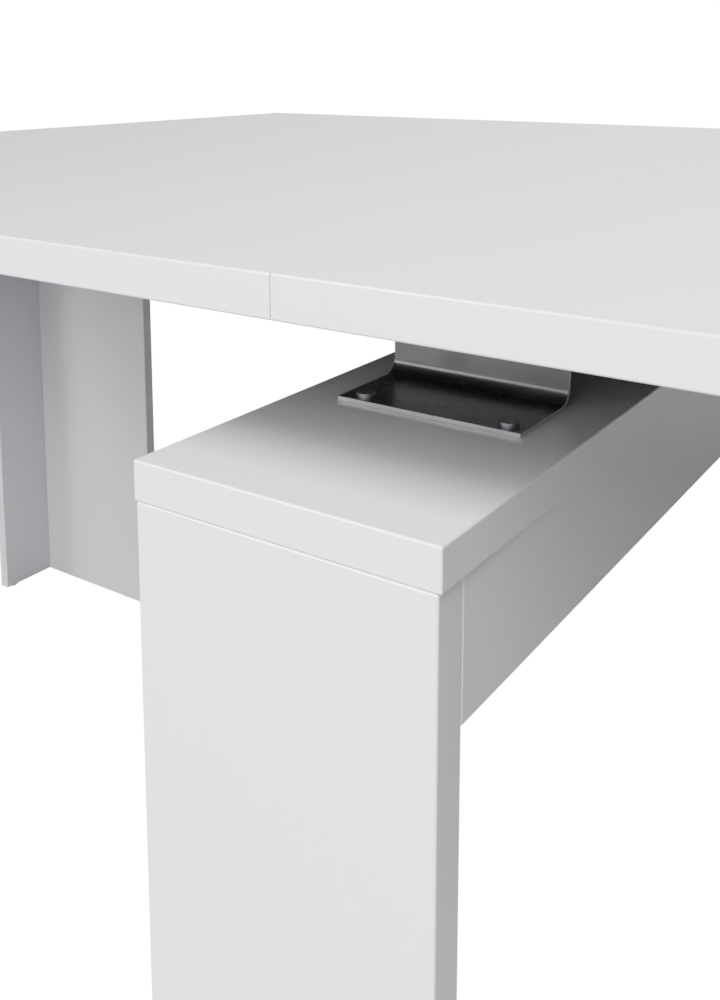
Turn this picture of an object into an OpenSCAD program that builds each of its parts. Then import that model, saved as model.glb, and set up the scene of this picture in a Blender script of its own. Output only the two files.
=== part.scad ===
// Lift top coffee table on a narrow bridge base.
// The top is two leaves with a seam on X = 0. Each leaf is carried by two
// parallelogram linkages, and rises and moves out to its own end of the table.
// Front is -Y, the table's length is along X, and it stands on z = 0.

/* [Table] */
// Length of the closed top
table_length = 1340; // [1240:10:1500]
// Depth of the top and of the bridge base
table_depth = 852; // [760:2:920]
// Height of the closed top above the floor
table_height = 450; // [400:5:500]
// Thickness of every lacquered board of the top and the base
board_t = 16.5; // [16:0.5:22]
// Gap between the two leaves at the seam
seam_gap = 0.3; // [0.3:0.1:2]
// Rounding of the lacquered edges
edge_r = 1; // [0.5:0.25:3]
// Thickness of the dark sheet under each leaf
backing_t = 0.8; // [0.5:0.1:1.5]

/* [Bridge base] */
// Width of the cap board
cap_w = 136; // [120:2:180]
// Clear height between the cap and the leaves
gap_h = 63.5; // [60:0.5:90]
// Step from the cap's side to the leg panel and apron
side_step = 1.2; // [0.5:0.1:4]
// Height of the apron boards under the cap
apron_h = 54; // [40:1:90]

/* [Brackets] */
// Width of each bent steel bracket
bracket_w = 90; // [70:1:110]
// Thickness of the bracket steel
bracket_t = 2; // [1.5:0.25:3]
// Distance from the cap's end to the bracket's upright face
bracket_in = 151; // [120:1:200]
// Length of the foot that is bolted to the cap
foot_len = 47.4; // [30:0.2:60]
// Inner radius of the bend at the foot
bend_r = 7; // [4:0.5:10]
// Distance between the two foot bolts
foot_bolt_w = 71; // [50:1:80]
// Distance from the foot's edge to the bolts
foot_bolt_in = 8.5; // [6:0.5:12]

/* [Outer legs] */
// Width of the board across the table
tee_flange_w = 115.6; // [90:0.2:160]
// Length of the board that points to the middle
tee_fin_w = 145; // [100:1:180]
// Thickness of both boards
tee_t = 10; // [10:0.5:18]
// Distance from the end of the table to the leg
tee_in = 26; // [20:1:80]

/* [Lift] */
// Length of each arm between its pivots
arm_len = 200; // [170:1:220]
// Height of the upper pivot above the lower one when closed
arm_rise = 25.8; // [24:0.2:27]
// Distance between the two parallel arms along the table
arm_pitch = 120; // [118:1:150]
// Distance from the seam to the nearest upper pivot
tip_x = 46.7; // [40:0.1:70]
// Width of each arm
arm_w = 14; // [12:0.5:14]
// Thickness of each arm
arm_t = 5; // [4:0.5:6]
// How far the arms turn from closed to open
swing = 96; // [80:1:98]

/* [Hidden] */
$fn = 48;
e = 0.01;
half_l = table_length / 2;
half_d = table_depth / 2;
leaf_z = table_height - board_t;      // underside of the leaves
cap_z1 = leaf_z - gap_h;              // top of the cap
cap_z0 = cap_z1 - board_t;
glide_h = 1;                          // head of a nailed glide
side_x = cap_w / 2 - side_step;       // outer side of leg panels and aprons
web_y = half_d - bracket_in;          // outer face of the bracket's upright
rail_w = 30;
rail_h = 40;
rail_wall = 2;
rail_z = leaf_z - 43;
rail_top = rail_z + rail_h;
rail_y1 = web_y - bracket_t;          // outer face of the rail
rail_y0 = rail_y1 - rail_w;           // inner face of the rail
rail_x = half_l - 30;
bar_x1 = rail_x - 10;                 // cross bar
bar_x0 = bar_x1 - 40;
tee_x1 = half_l - tee_in;
tee_x0 = tee_x1 - tee_t;
fin_x0 = tee_x0 - tee_fin_w;
plate_t = 4;
tee_z1 = rail_z - plate_t;
// lift pivots, given for the right side
base_z = rail_z + 8;
tip_z = base_z + arm_rise;
arm_dx = sqrt(arm_len * arm_len - arm_rise * arm_rise);
arm_a = asin(arm_rise / arm_len);
guide_x = tip_x + arm_dx;
drive_x = guide_x + arm_pitch;
arm_y1 = rail_y0 - 5;                 // arms, in a layer beside the rail
arm_y0 = arm_y1 - arm_t;
web2_y1 = arm_y0 - 0.3;               // carrier's upright
web2_y0 = web2_y1 - 3;
carrier_x0 = tip_x - 14;
carrier_x1 = bar_x0 - 10;
carrier_flange = 32;
run = 0.05;                           // radial clearance at the pivots
axle_r = 5;
pin_r = 4;

WHITE = [0.93, 0.93, 0.94];
GREY = [0.55, 0.56, 0.58];
DARK = [0.13, 0.13, 0.14];
ZINC = [0.75, 0.76, 0.78];
WOOD = [0.80, 0.68, 0.50];
NYLON = [0.88, 0.88, 0.86];

// ---- helpers ----

// rectangle from a to b with true round corners
module rrect(a, b, r) {
    translate([a[0] + r, a[1]]) square([b[0] - a[0] - 2 * r, b[1] - a[1]]);
    translate([a[0], a[1] + r]) square([b[0] - a[0], b[1] - a[1] - 2 * r]);
    for (x = [a[0] + r, b[0] - r], y = [a[1] + r, b[1] - r]) translate([x, y]) circle(r);
}

// board from corner a to corner b with its edges rounded
module board(a, b, r) {
    intersection() {
        translate([0, 0, a[2]]) linear_extrude(b[2] - a[2]) rrect([a[0], a[1]], [b[0], b[1]], r);
        translate([0, b[1], 0]) rotate([90, 0, 0]) linear_extrude(b[1] - a[1])
            rrect([a[0], a[2]], [b[0], b[2]], r);
        translate([a[0], 0, 0]) rotate([90, 0, 90]) linear_extrude(b[0] - a[0])
            rrect([a[1], a[2]], [b[1], b[2]], r);
    }
}

// plain box from corner a to corner b
module box(a, b) {
    translate(a) cube([b[0] - a[0], b[1] - a[1], b[2] - a[2]]);
}

// cylinder along Y between y0 and y1
module ycyl(x, z, y0, y1, r) {
    translate([x, y1, z]) rotate([90, 0, 0]) cylinder(h = y1 - y0, r = r);
}

// cylinder along X between x0 and x1
module xcyl(y, z, x0, x1, r) {
    translate([x0, y, z]) rotate([0, 90, 0]) cylinder(h = x1 - x0, r = r);
}

// button head screw pointing down -Z with its seat at z = 0
module button_screw(head_r, head_h, shank_r, shank_l) {
    difference() {
        union() {
            intersection() {
                cylinder(h = head_h, r = head_r);
                translate([0, 0, head_h - head_r * 1.25]) sphere(head_r * 1.25);
            }
            translate([0, 0, -shank_l]) cylinder(h = shank_l + head_h / 2, r = shank_r);
        }
        translate([0, 0, head_h * 0.4]) cylinder(h = head_h, r = head_r * 0.38, $fn = 6);
    }
}

// bolt with a plain low round head, pointing down -Z with its seat at z = 0
module low_head_bolt(head_r, head_h, shank_r, shank_l) {
    cylinder(h = head_h, r = head_r);
    translate([0, 0, -shank_l]) cylinder(h = shank_l + head_h / 2, r = shank_r);
}

// hexagon nut along Z from z = 0, with its hole
module nut(r, h, hole_r) {
    difference() {
        cylinder(h = h, r = r, $fn = 6);
        translate([0, 0, -1]) cylinder(h = h + 2, r = hole_r);
    }
}

// the same thing at the rear, and at the left
module rear() { mirror([0, 1, 0]) children(); }
module left() { mirror([1, 0, 0]) children(); }
module both_y() { children(); rear() children(); }
module both_x() { children(); left() children(); }
module four() { both_x() both_y() children(); }

// ---- bridge base, drawn for the front and the right ----

dowel_r = 4;
dowel_x = cap_w / 2 - 30;

module leg_panel() {
    color(WHITE) difference() {
        board([-side_x, -half_d, glide_h], [side_x, -half_d + board_t, cap_z0], edge_r);
        for (x = [-dowel_x, dowel_x]) {
            translate([x, -half_d + board_t / 2, cap_z0 - 20]) cylinder(h = 21, r = dowel_r);
            translate([x, -half_d + board_t / 2, glide_h - 1]) cylinder(h = 11, r = 2);
        }
    }
}

module front_leg_panel() { leg_panel(); }
module rear_leg_panel() { rear() leg_panel(); }

module bridge_cap() {
    color(WHITE) difference() {
        board([-cap_w / 2, -half_d, cap_z0], [cap_w / 2, half_d, cap_z1], edge_r);
        four() translate([dowel_x, -half_d + board_t / 2, cap_z0 - 1]) cylinder(h = 11, r = dowel_r);
        four() translate([foot_bolt_w / 2, foot_bolt_y, cap_z0 - 1]) cylinder(h = board_t + 2, r = foot_bolt_r + 0.1);
    }
}

module apron() {
    color(WHITE)
        board([side_x - board_t, -half_d + board_t, cap_z0 - apron_h], [side_x, half_d - board_t, cap_z0], edge_r);
}

module right_apron() { apron(); }
module left_apron() { left() apron(); }

module corner_blocks() {
    color(WOOD) four()
        box([side_x - board_t - 28, -half_d + board_t, cap_z0 - 34], [side_x - board_t, -half_d + board_t + 28, cap_z0]);
}

module panel_dowels() {
    color(WOOD) four()
        translate([dowel_x, -half_d + board_t / 2, cap_z0 - 19]) cylinder(h = 28, r = dowel_r);
}

// ---- bent brackets and their bolts ----

foot_y0 = -(web_y + foot_len);
foot_bolt_y = foot_y0 + foot_bolt_in;
foot_bolt_r = 2.5;
foot_nut_h = 4;
top_r = 2;

// side view in the Y-Z plane: foot outwards, upright, short lip inwards over the rail
module bracket_section() {
    z0 = cap_z1;
    z1 = rail_top + bracket_t;
    y = -web_y;
    t = bracket_t;
    r = bend_r;
    lip = rail_w - 2;
    translate([foot_y0, z0]) square([foot_len - r, t]);
    translate([y, z0 + t + r]) square([t, z1 - z0 - 2 * t - r - top_r + t]);
    intersection() {
        difference() {
            translate([y - r, z0 + t + r]) circle(r + t);
            translate([y - r, z0 + t + r]) circle(r);
        }
        translate([y - r, z0]) square([r + t, r + t]);
    }
    translate([y + t, z1 - t]) square([lip - t, t]);
    translate([y, z1 - t]) square([t, t]);
}

module bracket() {
    color(ZINC) difference() {
        translate([-bracket_w / 2, 0, 0]) rotate([90, 0, 90]) linear_extrude(bracket_w) bracket_section();
        both_x() translate([foot_bolt_w / 2, foot_bolt_y, cap_z1 - 1])
            cylinder(h = bracket_t + 2, r = foot_bolt_r + 0.1);
        both_x() ycyl(25, rail_z + rail_h / 2, -web_y - 1, -web_y + bracket_t + 1, 3);
    }
}

module front_bracket() { bracket(); }
module rear_bracket() { rear() bracket(); }

module foot_bolts() {
    color(ZINC) four() translate([foot_bolt_w / 2, foot_bolt_y, cap_z1 + bracket_t])
        low_head_bolt(4.5, 1.5, foot_bolt_r, bracket_t + board_t + foot_nut_h + 2);
}

module foot_nuts() {
    color(ZINC) four() translate([foot_bolt_w / 2, foot_bolt_y, cap_z0 - foot_nut_h])
        nut(4.6, foot_nut_h, foot_bolt_r);
}

// ---- steel sub-frame ----

module rail() {
    color(DARK) difference() {
        box([-rail_x, -rail_y1, rail_z], [rail_x, -rail_y0, rail_top]);
        box([-rail_x - 1, -rail_y1 + rail_wall, rail_z + rail_wall], [rail_x + 1, -rail_y0 - rail_wall, rail_top - rail_wall]);
        both_x() for (x = [guide_x, drive_x]) ycyl(x, base_z, -rail_y1 - 1, -rail_y0 + 1, axle_r);
        both_x() ycyl(25, rail_z + rail_h / 2, -rail_y1 - 1, -rail_y1 + 3, 3);
    }
}

module front_rail() { rail(); }
module rear_rail() { rear() rail(); }

module rail_end_caps() {
    color(DARK) four() {
        box([rail_x, -rail_y1, rail_z], [rail_x + 3, -rail_y0, rail_top]);
        box([rail_x - 12, -rail_y1 + rail_wall, rail_z + rail_wall], [rail_x + 1, -rail_y0 - rail_wall, rail_top - rail_wall]);
    }
}

module cross_bar() {
    color(DARK) difference() {
        box([bar_x0, -rail_y0, rail_z], [bar_x1, rail_y0, rail_top]);
        box([bar_x0 + rail_wall, -rail_y0 - 1, rail_z + rail_wall], [bar_x1 - rail_wall, rail_y0 + 1, rail_top - rail_wall]);
        both_y() translate([(bar_x0 + bar_x1) / 2, -30, rail_z - 1]) cylinder(h = 4, r = 3);
    }
}

module right_cross_bar() { cross_bar(); }
module left_cross_bar() { left() cross_bar(); }

module frame_bolts() {
    color(ZINC) {
        four() translate([25, -web_y, rail_z + rail_h / 2]) rotate([90, 0, 0]) button_screw(5.25, 3, 3, bracket_t + 8);
        four() translate([(bar_x0 + bar_x1) / 2, -30, rail_z - plate_t]) rotate([180, 0, 0]) button_screw(5.25, 3, 3, plate_t + 8);
    }
}

// ---- outer legs of T plan, drawn for the right ----

tee_dowel_z = [60, (glide_h + tee_z1) / 2, tee_z1 - 60];
tee_screws = [[fin_x0 + 20, 0], [fin_x0 + 75, 0], [tee_x0 + tee_t / 2, 42], [tee_x0 + tee_t / 2, -42]];
tee_glides = [[fin_x0 + 10, 0], [tee_x0 + tee_t / 2, 48], [tee_x0 + tee_t / 2, -48]];

module leg_flange() {
    color(WHITE) difference() {
        board([tee_x0, -tee_flange_w / 2, glide_h], [tee_x1, tee_flange_w / 2, tee_z1], 1);
        for (z = tee_dowel_z) xcyl(0, z, tee_x0 - 1, tee_x0 + 6, 2.5);
        for (p = [tee_screws[2], tee_screws[3]]) translate([p[0], p[1], tee_z1 - 26]) cylinder(h = 27, r = 2);
        for (p = [tee_glides[1], tee_glides[2]]) translate([p[0], p[1], glide_h - 1]) cylinder(h = 11, r = 2);
    }
}

module leg_fin() {
    color(WHITE) difference() {
        board([fin_x0, -tee_t / 2, glide_h], [tee_x0, tee_t / 2, tee_z1], 1);
        for (z = tee_dowel_z) xcyl(0, z, tee_x0 - 20, tee_x0 + 1, 2.5);
        for (p = [tee_screws[0], tee_screws[1]]) translate([p[0], p[1], tee_z1 - 26]) cylinder(h = 27, r = 2);
        translate([tee_glides[0][0], tee_glides[0][1], glide_h - 1]) cylinder(h = 11, r = 2);
    }
}

module right_leg_flange() { leg_flange(); }
module right_leg_fin() { leg_fin(); }
module left_leg_flange() { left() leg_flange(); }
module left_leg_fin() { left() leg_fin(); }

module leg_dowels() {
    color(WOOD) both_x() for (z = tee_dowel_z) xcyl(0, z, tee_x0 - 19, tee_x0 + 5, 2.5);
}

module leg_plate() {
    color(DARK) difference() {
        box([fin_x0, -tee_flange_w / 2, tee_z1], [tee_x1, tee_flange_w / 2, rail_z]);
        for (p = tee_screws) translate([p[0], p[1], tee_z1 - 1]) cylinder(h = plate_t + 2, r = 2.2);
        both_y() translate([(bar_x0 + bar_x1) / 2, -30, tee_z1 - 1]) cylinder(h = plate_t + 2, r = 3);
    }
}

module right_leg_plate() { leg_plate(); }
module left_leg_plate() { left() leg_plate(); }

module leg_plate_screws() {
    color(ZINC) both_x() for (p = tee_screws) translate([p[0], p[1], rail_z]) button_screw(4, 2.4, 2, plate_t + 25);
}

module glide(r) {
    cylinder(h = glide_h, r = r);
    cylinder(h = glide_h + 9, r = 2);
}

module floor_glides() {
    color(NYLON) {
        four() translate([dowel_x, -half_d + board_t / 2, 0]) glide(7);
        both_x() for (p = tee_glides) translate([p[0], p[1], 0]) glide(4.6);
    }
}

module leaf_bumpers() {
    color(DARK) four() for (x = [110, rail_x - 80])
        translate([x, -(rail_y0 + rail_w / 2), rail_top]) cylinder(h = leaf_z - rail_top - 0.3, r = 6);
}

// ---- fixed parts of the lift ----

module lift_axles() {
    color(ZINC) both_x() for (x = [guide_x, drive_x]) ycyl(x, base_z, -rail_y1 - 8, rail_y1 + 8, axle_r);
}

module axle_nuts() {
    color(ZINC) four() for (x = [guide_x, drive_x])
        translate([x, -rail_y1, base_z]) rotate([90, 0, 0]) nut(8, 6, axle_r);
}

module axle_spacers() {
    color(NYLON) four() for (x = [guide_x, drive_x]) difference() {
        ycyl(x, base_z, -rail_y0, -arm_y1 - 0.3, 7.5);
        ycyl(x, base_z, -rail_y0 - 1, -arm_y1 + 1, axle_r);
    }
}

// the drive arms come to rest against these when the leaf is up
stop_r = 4;
stop_a = arm_a + swing;
stop_x = drive_x - 22 * cos(stop_a) + (arm_w / 2 + stop_r + 0.3) * sin(stop_a);
stop_z = base_z + 22 * sin(stop_a) + (arm_w / 2 + stop_r + 0.3) * cos(stop_a);

module lift_stops() {
    color(DARK) four() ycyl(stop_x, stop_z, -rail_y0, -arm_y0, stop_r);
}

// ---- moving parts of the lift, drawn for the right ----

module arm(x) {
    color(GREY) difference() {
        translate([0, -arm_y0, 0]) rotate([90, 0, 0]) linear_extrude(arm_t) translate([x, base_z]) rotate(180 - arm_a) {
            translate([0, -arm_w / 2]) square([arm_len, arm_w]);
            circle(arm_w / 2);
            translate([arm_len, 0]) circle(arm_w / 2);
        }
        ycyl(x, base_z, -arm_y1 - 1, -arm_y0 + 1, axle_r + run);
        ycyl(x - arm_dx, tip_z, -arm_y1 - 1, -arm_y0 + 1, pin_r + run);
    }
}

module cross_tube(x) {
    color(GREY) difference() {
        ycyl(x, base_z, -arm_y0, arm_y0, 9);
        ycyl(x, base_z, -arm_y0 - 1, arm_y0 + 1, 7);
    }
}

module right_front_drive_arm() { arm(drive_x); }
module right_rear_drive_arm() { rear() arm(drive_x); }
module right_drive_tube() { cross_tube(drive_x); }
module right_front_guide_arm() { arm(guide_x); }
module right_rear_guide_arm() { rear() arm(guide_x); }
module right_guide_tube() { cross_tube(guide_x); }
module left_front_drive_arm() { left() arm(drive_x); }
module left_rear_drive_arm() { left() rear() arm(drive_x); }
module left_drive_tube() { left() cross_tube(drive_x); }
module left_front_guide_arm() { left() arm(guide_x); }
module left_rear_guide_arm() { left() rear() arm(guide_x); }
module left_guide_tube() { left() cross_tube(guide_x); }

// ---- leaves and the carriers screwed under them, drawn for the right ----

screw_y = -(web2_y0 - carrier_flange / 2 - 2);
screw_n = 5;
function screw_x(i) = carrier_x0 + 20 + i * (carrier_x1 - carrier_x0 - 40) / (screw_n - 1);
board_z = leaf_z + backing_t;

module screw_bores(r, z0, z1) {
    both_y() for (i = [0 : screw_n - 1]) translate([screw_x(i), screw_y, z0]) cylinder(h = z1 - z0, r = r);
}

module top_leaf() {
    color(WHITE) difference() {
        board([seam_gap / 2, -half_d, leaf_z], [half_l, half_d, table_height], edge_r);
        box([seam_gap / 2 + 3, -half_d + 3, leaf_z - 1], [half_l - 3, half_d - 3, board_z]);
        screw_bores(2, board_z - 1, leaf_z + 12);
    }
}

module leaf_backing() {
    color(DARK) difference() {
        box([seam_gap / 2 + 3, -half_d + 3, leaf_z], [half_l - 3, half_d - 3, board_z]);
        screw_bores(2, leaf_z - 1, board_z + 1);
    }
}

module carrier() {
    color(GREY) difference() {
        union() {
            box([carrier_x0, -web2_y1, leaf_z - 20], [carrier_x1, -web2_y0, leaf_z]);
            box([carrier_x0, -web2_y1, leaf_z - 3], [carrier_x1, -web2_y0 + carrier_flange, leaf_z]);
        }
        for (x = [tip_x, tip_x + arm_pitch]) ycyl(x, tip_z, -web2_y1 - 1, -web2_y0 + 1, pin_r);
        for (i = [0 : screw_n - 1]) translate([screw_x(i), screw_y, leaf_z - 4]) cylinder(h = 5, r = 2);
    }
}

module carrier_screws() {
    color(ZINC) both_y() for (i = [0 : screw_n - 1])
        translate([screw_x(i), screw_y, leaf_z - 3]) rotate([180, 0, 0]) button_screw(3.8, 2.2, 2, 14);
}

module pivot_pins() {
    color(ZINC) both_y() for (x = [tip_x, tip_x + arm_pitch]) {
        ycyl(x, tip_z, -arm_y1 - 3, -arm_y1 - 0.3, 6);
        ycyl(x, tip_z, -arm_y1 - 3, -web2_y0 + 1, pin_r);
        ycyl(x, tip_z, -web2_y0, -web2_y0 + 3.5, 5.5);
    }
}

module right_top_leaf() { top_leaf(); }
module right_leaf_backing() { leaf_backing(); }
module right_front_carrier() { carrier(); }
module right_rear_carrier() { rear() carrier(); }
module right_carrier_screws() { carrier_screws(); }
module right_pivot_pins() { pivot_pins(); }
module left_top_leaf() { left() top_leaf(); }
module left_leaf_backing() { left() leaf_backing(); }
module left_front_carrier() { left() carrier(); }
module left_rear_carrier() { left() rear() carrier(); }
module left_carrier_screws() { left() carrier_screws(); }
module left_pivot_pins() { left() pivot_pins(); }

front_leg_panel();
rear_leg_panel();
bridge_cap();
left_apron();
right_apron();
corner_blocks();
panel_dowels();
front_bracket();
rear_bracket();
foot_bolts();
foot_nuts();
front_rail();
rear_rail();
rail_end_caps();
left_cross_bar();
right_cross_bar();
frame_bolts();
left_leg_flange();
left_leg_fin();
right_leg_flange();
right_leg_fin();
leg_dowels();
left_leg_plate();
right_leg_plate();
leg_plate_screws();
floor_glides();
leaf_bumpers();
lift_axles();
axle_nuts();
axle_spacers();
lift_stops();
left_front_drive_arm();
left_rear_drive_arm();
left_drive_tube();
left_front_guide_arm();
left_rear_guide_arm();
left_guide_tube();
left_top_leaf();
left_leaf_backing();
left_front_carrier();
left_rear_carrier();
left_carrier_screws();
left_pivot_pins();
right_front_drive_arm();
right_rear_drive_arm();
right_drive_tube();
right_front_guide_arm();
right_rear_guide_arm();
right_guide_tube();
right_top_leaf();
right_leaf_backing();
right_front_carrier();
right_rear_carrier();
right_carrier_screws();
right_pivot_pins();
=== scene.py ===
import math

import bmesh
import bpy
from mathutils import Matrix, Vector


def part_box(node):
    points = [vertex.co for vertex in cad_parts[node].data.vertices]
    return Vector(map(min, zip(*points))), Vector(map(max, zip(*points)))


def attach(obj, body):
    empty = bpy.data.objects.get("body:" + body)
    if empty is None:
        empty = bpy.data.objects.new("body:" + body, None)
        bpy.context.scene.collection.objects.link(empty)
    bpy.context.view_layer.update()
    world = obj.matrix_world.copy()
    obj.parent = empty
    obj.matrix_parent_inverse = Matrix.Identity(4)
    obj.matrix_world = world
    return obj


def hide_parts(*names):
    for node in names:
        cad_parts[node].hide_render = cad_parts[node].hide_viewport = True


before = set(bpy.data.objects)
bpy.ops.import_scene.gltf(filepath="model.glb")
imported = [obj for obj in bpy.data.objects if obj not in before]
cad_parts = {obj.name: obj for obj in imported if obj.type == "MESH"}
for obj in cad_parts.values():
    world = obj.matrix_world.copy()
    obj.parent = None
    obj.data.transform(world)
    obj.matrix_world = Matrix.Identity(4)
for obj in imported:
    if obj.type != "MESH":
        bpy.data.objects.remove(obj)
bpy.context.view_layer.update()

scene = bpy.context.scene

# ---- Leg panels of the bridge base ----
# Two upright MDF panels, 16.5 mm thick with their white gloss lacquer. They carry the
# cap at its ends, and their arrises are eased before spraying.

LACQUER_WHITE = (0.787, 0.803, 0.828, 1.0)
EASED = 0.0009
CREASE = math.radians(40)


def new_group(name, inputs, outputs):
    """An empty shader node group with named sockets, its input node and its output node."""
    group = bpy.data.node_groups.new(name, "ShaderNodeTree")
    for label, kind, value in inputs:
        socket = group.interface.new_socket(name=label, in_out="INPUT", socket_type=kind)
        socket.default_value = value
    for label, kind in outputs:
        group.interface.new_socket(name=label, in_out="OUTPUT", socket_type=kind)
    return group, group.nodes.new("NodeGroupInput"), group.nodes.new("NodeGroupOutput")


def noise(tree, place, scale, detail=2.0, roughness=0.5):
    """A noise texture that reads the given coordinates."""
    node = tree.nodes.new("ShaderNodeTexNoise")
    node.inputs["Scale"].default_value = scale
    node.inputs["Detail"].default_value = detail
    node.inputs["Roughness"].default_value = roughness
    tree.links.new(place, node.inputs["Vector"])
    return node.outputs["Fac"]


def span(tree, value, low, high):
    """Maps a noise value, which mostly lies between 0.3 and 0.7, to low and high."""
    node = tree.nodes.new("ShaderNodeMapRange")
    node.inputs["From Min"].default_value = 0.3
    node.inputs["From Max"].default_value = 0.7
    tree.links.new(value, node.inputs["Value"])
    for label, source in (("To Min", low), ("To Max", high)):
        if hasattr(source, "links"):
            tree.links.new(source, node.inputs[label])
        else:
            node.inputs[label].default_value = source
    return node.outputs["Result"]


def tinted(tree, colour, value):
    """The colour made lighter or darker by a value around 1."""
    node = tree.nodes.new("ShaderNodeVectorMath")
    node.operation = "SCALE"
    tree.links.new(colour, node.inputs[0])
    tree.links.new(value, node.inputs["Scale"])
    return node.outputs["Vector"]


FINISH_OUT = (
    ("Color", "NodeSocketColor"),
    ("Roughness", "NodeSocketFloat"),
    ("Height", "NodeSocketFloat"),
)

lacquer_film, film_in, film_out = new_group(
    "lacquer_film",
    (("Tone", "NodeSocketColor", LACQUER_WHITE),
     ("Smooth", "NodeSocketFloat", 0.12),
     ("Hazy", "NodeSocketFloat", 0.14)),
    FINISH_OUT,
)
film_place = lacquer_film.nodes.new("ShaderNodeTexCoord").outputs["Object"]
film_cloud = noise(lacquer_film, film_place, 5.0, 3.0)
film_wipe = noise(lacquer_film, film_place, 38.0, 4.0, 0.6)
film_peel = noise(lacquer_film, film_place, 420.0, 1.5)
lacquer_film.links.new(
    tinted(lacquer_film, film_in.outputs["Tone"], span(lacquer_film, film_cloud, 0.997, 1.003)),
    film_out.inputs["Color"])
lacquer_film.links.new(
    span(lacquer_film, film_wipe, film_in.outputs["Smooth"], film_in.outputs["Hazy"]),
    film_out.inputs["Roughness"])
lacquer_film.links.new(film_peel, film_out.inputs["Height"])


def finish_from(name, group, settings, relief, **shader_values):
    """A material whose colour, roughness and relief come from a finish group.

    What is the same all over is set on the shader.
    """
    material = bpy.data.materials.new(name)
    material.use_nodes = True
    tree = material.node_tree
    shader = tree.nodes["Principled BSDF"]
    for label, value in shader_values.items():
        shader.inputs[label.replace("_", " ")].default_value = value
    finish = tree.nodes.new("ShaderNodeGroup")
    finish.node_tree = group
    for label, value in settings.items():
        finish.inputs[label].default_value = value
    tree.links.new(finish.outputs["Color"], shader.inputs["Base Color"])
    tree.links.new(finish.outputs["Roughness"], shader.inputs["Roughness"])
    bump = tree.nodes.new("ShaderNodeBump")
    bump.inputs["Strength"].default_value = 1.0
    bump.inputs["Distance"].default_value = relief
    tree.links.new(finish.outputs["Height"], bump.inputs["Height"])
    tree.links.new(bump.outputs["Normal"], shader.inputs["Normal"])
    return material


white_lacquer = finish_from("white_lacquer", lacquer_film, {}, relief=0.0000015, IOR=1.5)


def fit_piece(name, bm, body, slot, material, *cad_nodes, highlight_material=None):
    """Makes the piece, rides it on its body and puts it in place of its CAD nodes.

    Faces of the mesh that are marked 1 take the extra material given for them; on the brackets that is a
    lighter steel, a painted highlight along the cut edges.
    """
    for edge in bm.edges:
        edge.smooth = len(edge.link_faces) == 2 and edge.calc_face_angle() < CREASE
    for face in bm.faces:
        face.smooth = True
    mesh = bpy.data.meshes.new(name)
    bm.to_mesh(mesh)
    bm.free()
    mesh.materials.append(material)
    if highlight_material:
        mesh.materials.append(highlight_material)
    piece = bpy.data.objects.new(name, mesh)
    scene.collection.objects.link(piece)
    even = piece.modifiers.new("flat faces stay flat", "WEIGHTED_NORMAL")
    even.weight = 100
    even.keep_sharp = True
    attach(piece, body)
    if cad_nodes:
        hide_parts(*cad_nodes)


def block(bm, low, high):
    """A plain block between two corners."""
    made = bmesh.ops.create_cube(bm, size=1)["verts"]
    bmesh.ops.scale(bm, vec=high - low, verts=made)
    bmesh.ops.translate(bm, vec=(low + high) / 2, verts=made)


def round_over(bm, edges, radius, segments=4):
    """Rounds the given edges to a radius."""
    bmesh.ops.bevel(bm, geom=edges, offset=radius, segments=segments, profile=0.5,
                    affect="EDGES", material=-1, clamp_overlap=True)


def lacquered_board(node, body="base", radius=EASED):
    """The board that stands for a CAD node, with its arrises eased."""
    low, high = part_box(node)
    bm = bmesh.new()
    block(bm, low, high)
    round_over(bm, bm.edges[:], radius)
    fit_piece(node + "_board", bm, body, "white_lacquer", white_lacquer, node)


for panel in ("front_leg_panel", "rear_leg_panel"):
    lacquered_board(panel)

# ---- Cap board and aprons of the bridge base ----
# The cap lies on the leg panels and stands 1.2 mm proud of them on each side. An apron
# board is glued under each long side and keeps the cap from sagging.

for long_board in ("bridge_cap", "left_apron", "right_apron"):
    lacquered_board(long_board)

# ---- Corner blocks and dowels ----
# Raw birch: four blocks glued into the inner corners of the base, and round dowels
# between the leg panels and the cap and in the outer legs.

wood_grain, grain_in, grain_out = new_group(
    "birch_grain",
    (("Tone", "NodeSocketColor", (0.62, 0.46, 0.29, 1.0)),
     ("Stretch", "NodeSocketVector", (60.0, 60.0, 4.0))),
    FINISH_OUT,
)
grain_place = wood_grain.nodes.new("ShaderNodeTexCoord").outputs["Object"]
grain_run = wood_grain.nodes.new("ShaderNodeVectorMath")
grain_run.operation = "MULTIPLY"
wood_grain.links.new(grain_place, grain_run.inputs[0])
wood_grain.links.new(grain_in.outputs["Stretch"], grain_run.inputs[1])
grain_lines = noise(wood_grain, grain_run.outputs["Vector"], 6.0, 5.0, 0.6)
wood_grain.links.new(
    tinted(wood_grain, grain_in.outputs["Tone"], span(wood_grain, grain_lines, 0.82, 1.10)),
    grain_out.inputs["Color"])
wood_grain.links.new(span(wood_grain, grain_lines, 0.72, 0.58), grain_out.inputs["Roughness"])
wood_grain.links.new(grain_lines, grain_out.inputs["Height"])

birch = finish_from("raw_birch", wood_grain, {}, relief=0.00008)


def finish_node(material, *nodes):
    """Gives CAD nodes that stay in view their real finish."""
    for node in nodes:
        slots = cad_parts[node].data.materials
        slots.clear()
        slots.append(material)


finish_node(birch, "corner_blocks", "panel_dowels", "leg_dowels")

# ---- Bent steel brackets ----
# Two brackets of 2 mm steel stand on the cap: a foot that points outwards, a tight bend,
# an upright, and a lip that hooks over the rail. The satin grain runs along the bend.

STEEL = 0.002
FOOT_BEND = 0.007
LIP_BEND = 0.0022
BURR = 0.00015
SAME_PLACE = 1e-5
SHARP = math.radians(60)

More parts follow.
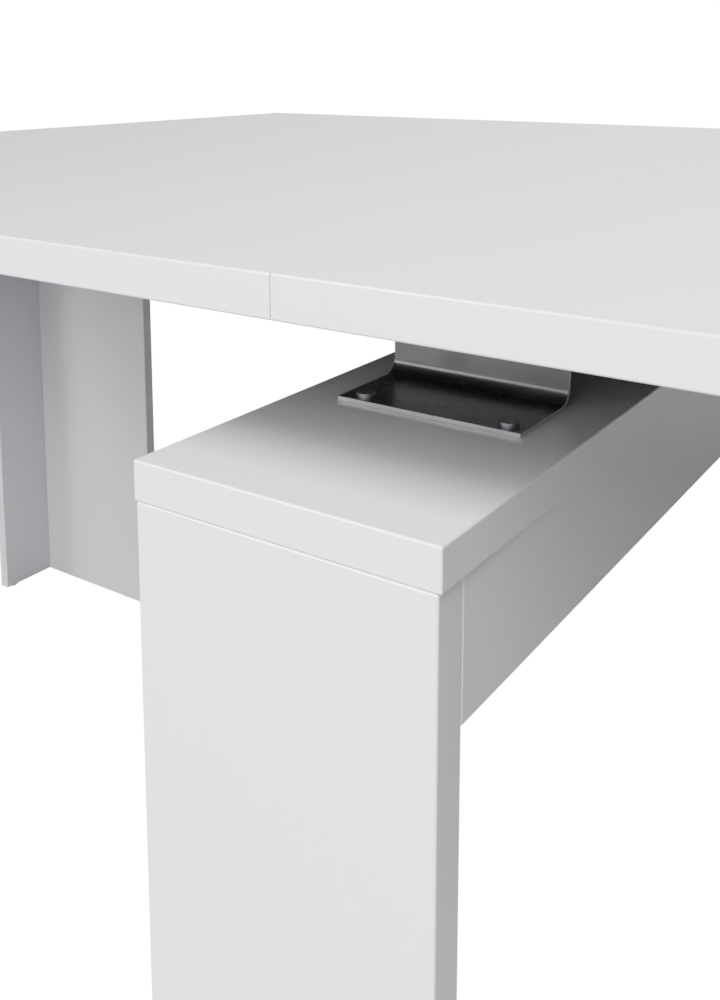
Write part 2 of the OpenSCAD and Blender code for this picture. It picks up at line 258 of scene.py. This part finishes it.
steel_grain, brushed_in, brushed_out = new_group(
    "steel_grain",
    (("Tone", "NodeSocketColor", (0.235, 0.24, 0.245, 1.0)),
     ("Run", "NodeSocketVector", (12.0, 900.0, 900.0)),
     ("Smooth", "NodeSocketFloat", 0.27),
     ("Hazy", "NodeSocketFloat", 0.30)),
    FINISH_OUT,
)
brushed_place = steel_grain.nodes.new("ShaderNodeTexCoord").outputs["Object"]
brushed_run = steel_grain.nodes.new("ShaderNodeVectorMath")
brushed_run.operation = "MULTIPLY"
steel_grain.links.new(brushed_place, brushed_run.inputs[0])
steel_grain.links.new(brushed_in.outputs["Run"], brushed_run.inputs[1])
brushed_lines = noise(steel_grain, brushed_run.outputs["Vector"], 1.0, 3.0, 0.6)
brushed_blotch = noise(steel_grain, brushed_place, 60.0, 3.0)
steel_grain.links.new(
    tinted(steel_grain, brushed_in.outputs["Tone"], span(steel_grain, brushed_lines, 0.96, 1.03)),
    brushed_out.inputs["Color"])
steel_grain.links.new(
    span(steel_grain, brushed_blotch, brushed_in.outputs["Smooth"], brushed_in.outputs["Hazy"]),
    brushed_out.inputs["Roughness"])
steel_grain.links.new(brushed_lines, brushed_out.inputs["Height"])

satin_steel = finish_from("satin_steel", steel_grain, {}, relief=0.0000001, Metallic=1.0)
# A much lighter, rougher copy of the steel for the brackets' cut faces: a painted highlight along their
# edges.
edge_highlight_steel = finish_from(
    "edge_highlight_steel", steel_grain,
    {"Tone": (0.70, 0.71, 0.72, 1.0), "Run": (40.0, 40.0, 900.0), "Smooth": 0.48, "Hazy": 0.60},
    relief=0.0000003, Metallic=1.0)


def draw_out(bm, faces, step, keep_first=True):
    """Draws faces out by a step, so that an outline becomes a solid."""
    drawn = bmesh.ops.extrude_face_region(bm, geom=faces, use_keep_orig=keep_first)["geom"]
    far_corners = [part for part in drawn if isinstance(part, bmesh.types.BMVert)]
    bmesh.ops.translate(bm, vec=step, verts=far_corners)


def drawn_section(points, length_x, start_x):
    """A closed outline in the Y-Z plane, drawn out along X."""
    bm = bmesh.new()
    corners = [bmesh.ops.create_vert(bm, co=(start_x, y, z))["vert"][0] for y, z in points]
    draw_out(bm, [bm.faces.new(corners)], (length_x, 0, 0))
    bmesh.ops.recalc_face_normals(bm, faces=bm.faces[:])
    return bm


def edges_at(bm, y, z):
    """The edges that run along X at this place in the section."""
    return [e for e in bm.edges
            if all(abs(v.co.y - y) < SAME_PLACE and abs(v.co.z - z) < SAME_PLACE for v in e.verts)]


def sharp_edges(bm):
    """The edges where two faces meet sharply."""
    return [e for e in bm.edges if len(e.link_faces) == 2 and e.calc_face_angle() > SHARP]


def bent_bracket(node, rear):
    """Foot, upright and lip as one folded sheet, mirrored for the rear of the table."""
    low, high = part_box(node)
    if rear:
        low.y, high.y = -high.y, -low.y
    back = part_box("front_rail")[0].y
    face = back - STEEL
    section = [(low.y, low.z), (back, low.z), (back, high.z - STEEL), (high.y, high.z - STEEL),
               (high.y, high.z), (face, high.z), (face, low.z + STEEL), (low.y, low.z + STEEL)]
    bm = drawn_section(section, high.x - low.x, low.x)
    for y, z, radius in (
            (back, low.z, FOOT_BEND + STEEL),
            (face, low.z + STEEL, FOOT_BEND),
            (face, high.z, LIP_BEND)):
        round_over(bm, edges_at(bm, y, z), radius, segments=10)
    round_over(bm, sharp_edges(bm), BURR, segments=2)
    # The cut faces at the sides and at the foot's end take the lighter steel, a painted highlight along
    # the edges.
    for cut in bm.faces:
        at_side = abs(cut.normal.x) > 0.9
        at_end = cut.normal.y < -0.9 and abs(cut.calc_center_median().y - low.y) < SAME_PLACE
        cut.material_index = int(at_side or at_end)
    if rear:
        bmesh.ops.scale(bm, vec=(1, -1, 1), verts=bm.verts[:])
        bmesh.ops.reverse_faces(bm, faces=bm.faces[:])
    fit_piece(node + "_bent", bm, "base", "satin_steel", satin_steel, node, highlight_material=edge_highlight_steel)


bent_bracket("front_bracket", rear=False)
bent_bracket("rear_bracket", rear=True)

# ---- Foot bolts and the other ironwork ----
# Two M5 bolts with plain low heads hold each foot to the cap, with nuts underneath. Screws,
# nuts, axles and pivot pins are all the same bright zinc plate.

zinc_plate = finish_from(
    "zinc_plate", steel_grain,
    {"Tone": (0.40, 0.41, 0.43, 1.0), "Run": (260.0, 260.0, 260.0), "Smooth": 0.40, "Hazy": 0.52},
    relief=0.000002, Metallic=1.0)

HEAD_R = 0.0045
HEAD_H = 0.0015
HEAD_RIM = 0.0003
SHANK_R = 0.0025


def low_head_bolt(bm, seat, shank):
    """A bolt with a thin round head, the underside of its head at the given seat."""
    for radius, depth, middle in ((HEAD_R, HEAD_H, HEAD_H / 2), (SHANK_R, shank, -shank / 2)):
        place = Matrix.Translation(seat + Vector((0, 0, middle)))
        bmesh.ops.create_cone(bm, cap_ends=True, segments=48, radius1=radius, radius2=radius,
                              depth=depth, matrix=place)


foot_low, foot_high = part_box("foot_bolts")
foot_top = foot_high.z - HEAD_H
bm = bmesh.new()
for x in (foot_low.x + HEAD_R, foot_high.x - HEAD_R):
    for y in (foot_low.y + HEAD_R, foot_high.y - HEAD_R):
        low_head_bolt(bm, Vector((x, y, foot_top)), foot_top - foot_low.z)
rims = [e for e in bm.edges if all(abs(v.co.z - foot_high.z) < SAME_PLACE for v in e.verts)]
round_over(bm, rims, HEAD_RIM, segments=3)
fit_piece("foot_bolt_set", bm, "base", "zinc_steel", zinc_plate, "foot_bolts")

finish_node(zinc_plate, "foot_nuts", "frame_bolts", "leg_plate_screws", "lift_axles", "axle_nuts")

# ---- Steel sub-frame under the top ----
# Two rails of 40 by 30 mm tube run the length of the table behind the brackets, with a
# cross bar welded between them near each end. All of it is powder coated matt black.

TUBE_CORNER = 0.003
PLUG_EASED = 0.0009

powder_grain, powder_in, powder_out = new_group(
    "powder_grain",
    (("Tone", "NodeSocketColor", (0.02, 0.02, 0.022, 1.0)),
     ("Smooth", "NodeSocketFloat", 0.42),
     ("Hazy", "NodeSocketFloat", 0.58)),
    FINISH_OUT,
)
powder_place = powder_grain.nodes.new("ShaderNodeTexCoord").outputs["Object"]
powder_fine = noise(powder_grain, powder_place, 1400.0, 1.0)
powder_cloud = noise(powder_grain, powder_place, 22.0, 3.0)
powder_grain.links.new(
    tinted(powder_grain, powder_in.outputs["Tone"], span(powder_grain, powder_cloud, 0.90, 1.10)),
    powder_out.inputs["Color"])
powder_grain.links.new(
    span(powder_grain, powder_cloud, powder_in.outputs["Smooth"], powder_in.outputs["Hazy"]),
    powder_out.inputs["Roughness"])
powder_grain.links.new(powder_fine, powder_out.inputs["Height"])

black_coat = finish_from("black_powder_coat", powder_grain, {}, relief=0.00003)
grey_coat = finish_from(
    "grey_powder_coat", powder_grain,
    {"Tone": (0.13, 0.135, 0.145, 1.0), "Smooth": 0.34, "Hazy": 0.46}, relief=0.00002)
moulded_black = finish_from(
    "moulded_black", powder_grain,
    {"Tone": (0.018, 0.018, 0.018, 1.0), "Smooth": 0.48, "Hazy": 0.62}, relief=0.00005)


def square_tube(bar, along):
    """A welded tube as it is seen from outside, with the corners along its length rolled round."""
    low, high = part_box(bar)
    bm = bmesh.new()
    block(bm, low, high)
    half_length = (high[along] - low[along]) / 2
    corners = [e for e in bm.edges if abs(e.verts[0].co[along] - e.verts[1].co[along]) > half_length]
    round_over(bm, corners, TUBE_CORNER)
    fit_piece(bar + "_tube", bm, "base", "black_steel", black_coat, bar)


for rail in ("front_rail", "rear_rail"):
    square_tube(rail, along=0)
for cross_bar in ("left_cross_bar", "right_cross_bar"):
    square_tube(cross_bar, along=1)

# The plastic plugs that close the rails.
caps_low, caps_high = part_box("rail_end_caps")
rail_low, rail_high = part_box("front_rail")
bm = bmesh.new()
for side in (-1, 1):
    for end in (-1, 1):
        inner, outer = sorted((side * rail_high.x, side * caps_high.x))
        near, far = sorted((end * rail_low.y, end * rail_high.y))
        block(bm, Vector((inner, near, rail_low.z)), Vector((outer, far, rail_high.z)))
round_over(bm, bm.edges[:], PLUG_EASED, segments=3)
fit_piece("rail_plugs", bm, "base", "black_plastic", moulded_black, "rail_end_caps")

# ---- Outer legs ----
# Each end of the table stands on two thin lacquered boards set in a T, with the stem
# towards the middle. A steel plate on top ties them to the cross bar above.

LEG_EASED = 0.001
PLATE_EASED = 0.0006

for leg_board in ("left_leg_flange", "left_leg_fin", "right_leg_flange", "right_leg_fin"):
    lacquered_board(leg_board, radius=LEG_EASED)

for plate in ("left_leg_plate", "right_leg_plate"):
    low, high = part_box(plate)
    bm = bmesh.new()
    block(bm, low, high)
    round_over(bm, bm.edges[:], PLATE_EASED)
    fit_piece(plate + "_cut", bm, "base", "black_steel", black_coat, plate)

# ---- Glides, bumpers, spacers and stops ----
# White nylon glides keep the panels off the floor and nylon rings keep the arms off the
# rails. The leaves land on rubber buttons, and steel pegs stop the arms when they are up.

white_nylon = finish_from(
    "white_nylon", powder_grain,
    {"Tone": (0.70, 0.70, 0.67, 1.0), "Smooth": 0.38, "Hazy": 0.50},
    relief=0.00002, Subsurface_Weight=0.08, Subsurface_Scale=0.002)
black_rubber = finish_from(
    "black_rubber", powder_grain,
    {"Tone": (0.016, 0.016, 0.016, 1.0), "Smooth": 0.62, "Hazy": 0.78}, relief=0.00006)

finish_node(white_nylon, "floor_glides", "axle_spacers")
finish_node(black_rubber, "leaf_bumpers")
finish_node(black_coat, "lift_stops")

# ---- Lift arms ----
# Each leaf is carried by a pair of drive arms and a pair of guide arms, flat steel bars
# welded to a cross tube that turns on an axle between the rails.

ARM_HALF = 0.007
ARM_EASED = 0.0005


def flat_arm(node, body):
    """A flat bar with round ends, from the hull of a disc round each pivot."""
    low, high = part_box(node)
    side = 1 if low.x > 0 else -1
    inner, outer = sorted((abs(low.x), abs(high.x)))
    bm = bmesh.new()
    for x, z in (
            (side * (outer - ARM_HALF), low.z + ARM_HALF),
            (side * (inner + ARM_HALF), high.z - ARM_HALF)):
        turn = Matrix.Translation((x, low.y, z)) @ Matrix.Rotation(math.pi / 2, 4, "X")
        bmesh.ops.create_circle(bm, cap_ends=False, segments=48, radius=ARM_HALF, matrix=turn)
    bmesh.ops.convex_hull(bm, input=bm.verts[:], use_existing_faces=False)
    bmesh.ops.dissolve_faces(bm, faces=bm.faces[:])
    draw_out(bm, bm.faces[:], (0, high.y - low.y, 0))
    bmesh.ops.recalc_face_normals(bm, faces=bm.faces[:])
    round_over(bm, sharp_edges(bm), ARM_EASED, segments=2)
    fit_piece(node + "_bar", bm, body, "grey_steel", grey_coat, node)


for side in ("left", "right"):
    for kind in ("drive", "guide"):
        for end in ("front", "rear"):
            flat_arm(f"{side}_{end}_{kind}_arm", f"{side}_{kind}_arms")
    finish_node(grey_coat, f"{side}_drive_tube", f"{side}_guide_tube")

# ---- Leaves ----
# The two halves of the top: MDF in the same lacquer, eased all round and a little crisper
# at the seam. A sheet is let in flush underneath each one, coloured near black as painted shade under the
# leaves.

SEAM_EASED = 0.0005
SHEET = 0.0008
SHEET_MARGIN = 0.003
SEAM_REACH = 0.0005

# Near black all over: painted shade for the unlit underside of the leaves, which also darkens what the cap
# and brackets reflect.
painted_shade_sheet = finish_from(
    "painted_shade_sheet", powder_grain,
    {"Tone": (0.012, 0.012, 0.013, 1.0), "Smooth": 0.50, "Hazy": 0.62}, relief=0.00001)


def on_seam(edge):
    """Whether an edge runs along the seam between the leaves."""
    return all(abs(v.co.x) < SEAM_REACH for v in edge.verts)


def top_leaf(side):
    """Half of the top, with a shallow bed underneath for the near-black sheet of painted shade."""
    low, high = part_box(f"{side}_top_leaf")
    bm = bmesh.new()
    block(bm, low, high)
    outline = bm.edges[:]
    under = min(bm.faces, key=lambda f: f.calc_center_median().z)
    bmesh.ops.inset_region(bm, faces=[under], thickness=SHEET_MARGIN, depth=0)
    draw_out(bm, [under], (0, 0, SHEET), keep_first=False)
    bmesh.ops.delete(bm, geom=[under], context="FACES_ONLY")
    round_over(bm, [e for e in outline if not on_seam(e)], EASED)
    round_over(bm, [e for e in sharp_edges(bm) if on_seam(e)], SEAM_EASED, segments=3)
    fit_piece(f"{side}_leaf_board", bm, f"{side}_leaf", "white_lacquer", white_lacquer, f"{side}_top_leaf")


for side in ("left", "right"):
    top_leaf(side)
    finish_node(painted_shade_sheet, f"{side}_leaf_backing")

# ---- Carriers ----
# Steel angles screwed under each leaf, which hang on the arms' upper pivot pins. The
# upright flange is on the outer side.

ANGLE = 0.003
ANGLE_EASED = 0.0004

for side in ("left", "right"):
    for end, turn in (("front", 1), ("rear", -1)):
        node = f"{side}_{end}_carrier"
        low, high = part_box(node)
        out_y, in_y = (low.y, high.y) if turn > 0 else (high.y, low.y)
        section = [(out_y, low.z), (out_y + turn * ANGLE, low.z), (out_y + turn * ANGLE, high.z - ANGLE),
                   (in_y, high.z - ANGLE), (in_y, high.z), (out_y, high.z)]
        bm = drawn_section(section, high.x - low.x, low.x)
        round_over(bm, sharp_edges(bm), ANGLE_EASED, segments=2)
        fit_piece(node + "_angle", bm, f"{side}_leaf", "grey_steel", grey_coat, node)
    finish_node(zinc_plate, f"{side}_carrier_screws", f"{side}_pivot_pins")

# ---- Room ----
# A plain pale floor that runs out of sight and soft studio light: a tall bank of
# softboxes over the front, a weaker pair at its sides, pale walls around, and a narrow
# bright panel low at the front left.

FLOOR_SIZE = 60.0
PURE_WHITE = 3.2
WHITE_SHARE = 0.95

floor_mesh = bpy.data.meshes.new("floor")
bm = bmesh.new()
bmesh.ops.create_grid(bm, x_segments=1, y_segments=1, size=FLOOR_SIZE / 2)
bm.to_mesh(floor_mesh)
bm.free()
floor = bpy.data.objects.new("floor", floor_mesh)
scene.collection.objects.link(floor)

floor_paint = bpy.data.materials.new("pale_floor")
floor_paint.use_nodes = True
paint = floor_paint.node_tree
matt = paint.nodes["Principled BSDF"]
matt.inputs["Base Color"].default_value = (0.38, 0.38, 0.38, 1.0)
matt.inputs["Roughness"].default_value = 0.9
matt.inputs["Specular IOR Level"].default_value = 0.0
glow = paint.nodes.new("ShaderNodeEmission")
glow.inputs["Strength"].default_value = PURE_WHITE
seen = paint.nodes.new("ShaderNodeLightPath")
amount = paint.nodes.new("ShaderNodeMath")
amount.operation = "MULTIPLY"
amount.inputs[1].default_value = WHITE_SHARE
paint.links.new(seen.outputs["Is Camera Ray"], amount.inputs[0])
blend = paint.nodes.new("ShaderNodeMixShader")
paint.links.new(amount.outputs[0], blend.inputs["Fac"])
paint.links.new(matt.outputs["BSDF"], blend.inputs[1])
paint.links.new(glow.outputs["Emission"], blend.inputs[2])
paint.links.new(blend.outputs["Shader"], paint.nodes["Material Output"].inputs["Surface"])
floor_mesh.materials.append(floor_paint)

world = bpy.data.worlds.new("studio")
scene.world = world
world.use_nodes = True
air = world.node_tree
air.nodes.clear()
facing = air.nodes.new("ShaderNodeTexCoord").outputs["Generated"]


def wall_glow(towards, power, strength):
    """Light from one side of the room, strongest straight on. A larger power makes it narrower."""
    aligned = air.nodes.new("ShaderNodeVectorMath")
    aligned.operation = "DOT_PRODUCT"
    aligned.inputs[1].default_value = Vector(towards).normalized()
    air.links.new(facing, aligned.inputs[0])
    source = aligned.outputs["Value"]
    for operation, value in (("MAXIMUM", 0.0), ("POWER", power), ("MULTIPLY", strength)):
        step = air.nodes.new("ShaderNodeMath")
        step.operation = operation
        step.inputs[1].default_value = value
        air.links.new(source, step.inputs[0])
        source = step.outputs[0]
    return source


room_glow = None
for towards, power, strength in (
        ((0, 1, 0), 2.0, 1.36), ((-1, 0, 0), 2.0, 0.50),
        ((0, -1, 0), 12.0, 0.18), ((-0.56, -0.82, 0.34), 72.0, 7.2)):
    side_glow = wall_glow(towards, power, strength)
    if room_glow is not None:
        both = air.nodes.new("ShaderNodeMath")
        air.links.new(room_glow, both.inputs[0])
        air.links.new(side_glow, both.inputs[1])
        side_glow = both.outputs[0]
    room_glow = side_glow

light = air.nodes.new("ShaderNodeBackground")
light.inputs["Color"].default_value = (0.985, 0.992, 1.0, 1.0)
air.links.new(room_glow, light.inputs["Strength"])
backdrop = air.nodes.new("ShaderNodeBackground")
backdrop.inputs["Color"].default_value = (1.0, 1.0, 1.0, 1.0)
backdrop.inputs["Strength"].default_value = PURE_WHITE
to_camera = air.nodes.new("ShaderNodeLightPath")
either = air.nodes.new("ShaderNodeMixShader")
air.links.new(to_camera.outputs["Is Camera Ray"], either.inputs["Fac"])
air.links.new(light.outputs["Background"], either.inputs[1])
air.links.new(backdrop.outputs["Background"], either.inputs[2])
air.links.new(either.outputs["Shader"], air.nodes.new("ShaderNodeOutputWorld").inputs["Surface"])

LAMP_DISTANCE = 7.0

for name, towards, size, power in (
        ("bank_low", (0.10, -1.00, 0.45), 3.0, 135.0),
        ("bank_middle", (0.05, -1.00, 0.90), 3.0, 223.0),
        ("bank_high", (0.14, -0.52, 0.84), 3.5, 476.0),
        ("left_softbox", (-1.00, -0.97, 1.50), 2.1, 134.0),
        ("right_softbox", (1.00, -0.90, 0.60), 3.0, 88.0)):
    lamp_data = bpy.data.lights.new(name, "AREA")
    lamp_data.shape = "DISK"
    lamp_data.size = size
    lamp_data.energy = power
    lamp = bpy.data.objects.new(name, lamp_data)
    lamp.location = Vector(towards).normalized() * LAMP_DISTANCE
    lamp.rotation_euler = lamp.location.to_track_quat("Z", "Y").to_euler()
    scene.collection.objects.link(lamp)

# Exposure with a soft shoulder, as a print has: the lit whites are drawn together just
# below paper white, and the shadows stay as they are.
SHOULDER = 0.10
BRIGHT = 0.78
SHOULDER_STEPS = 16
PAPER_WHITE = PURE_WHITE - 0.2
COMBINED_CURVE = 3

view = scene.view_settings
view.view_transform = "Standard"
view.use_curve_mapping = True
exposure = view.curve_mapping
exposure.black_level = (0.0, 0.0, 0.0)
exposure.white_level = (PAPER_WHITE,) * 3
tone = exposure.curves[COMBINED_CURVE]
for step in range(1, SHOULDER_STEPS):
    share = (step / SHOULDER_STEPS) ** 2
    lit = share * PAPER_WHITE
    shown = lit
    if lit > SHOULDER:
        room_left = BRIGHT - SHOULDER
        shown = SHOULDER + room_left * (1 - math.exp(-(lit - SHOULDER) / room_left))
    if lit > 1:
        shown += (1 - BRIGHT) * (lit - 1) / (PAPER_WHITE - 1)
    tone.points.new(share, shown)
exposure.update()

# The camera stands low at the right of the near end of the bridge base.
CAMERA_DIP = 8.0986
CAMERA_HEADING = 33.8588

camera_data = bpy.data.cameras.new("camera")
camera_data.lens = 39.375
camera_data.shift_x = -0.0040
camera_data.shift_y = -0.28707
camera_data.clip_start = 0.01
camera_data.clip_end = 100.0
camera = bpy.data.objects.new("camera", camera_data)
camera.location = (0.2285, -0.7092, 0.5221)
camera.rotation_euler = (math.radians(90 - CAMERA_DIP), 0, math.radians(CAMERA_HEADING))
scene.collection.objects.link(camera)
scene.camera = camera
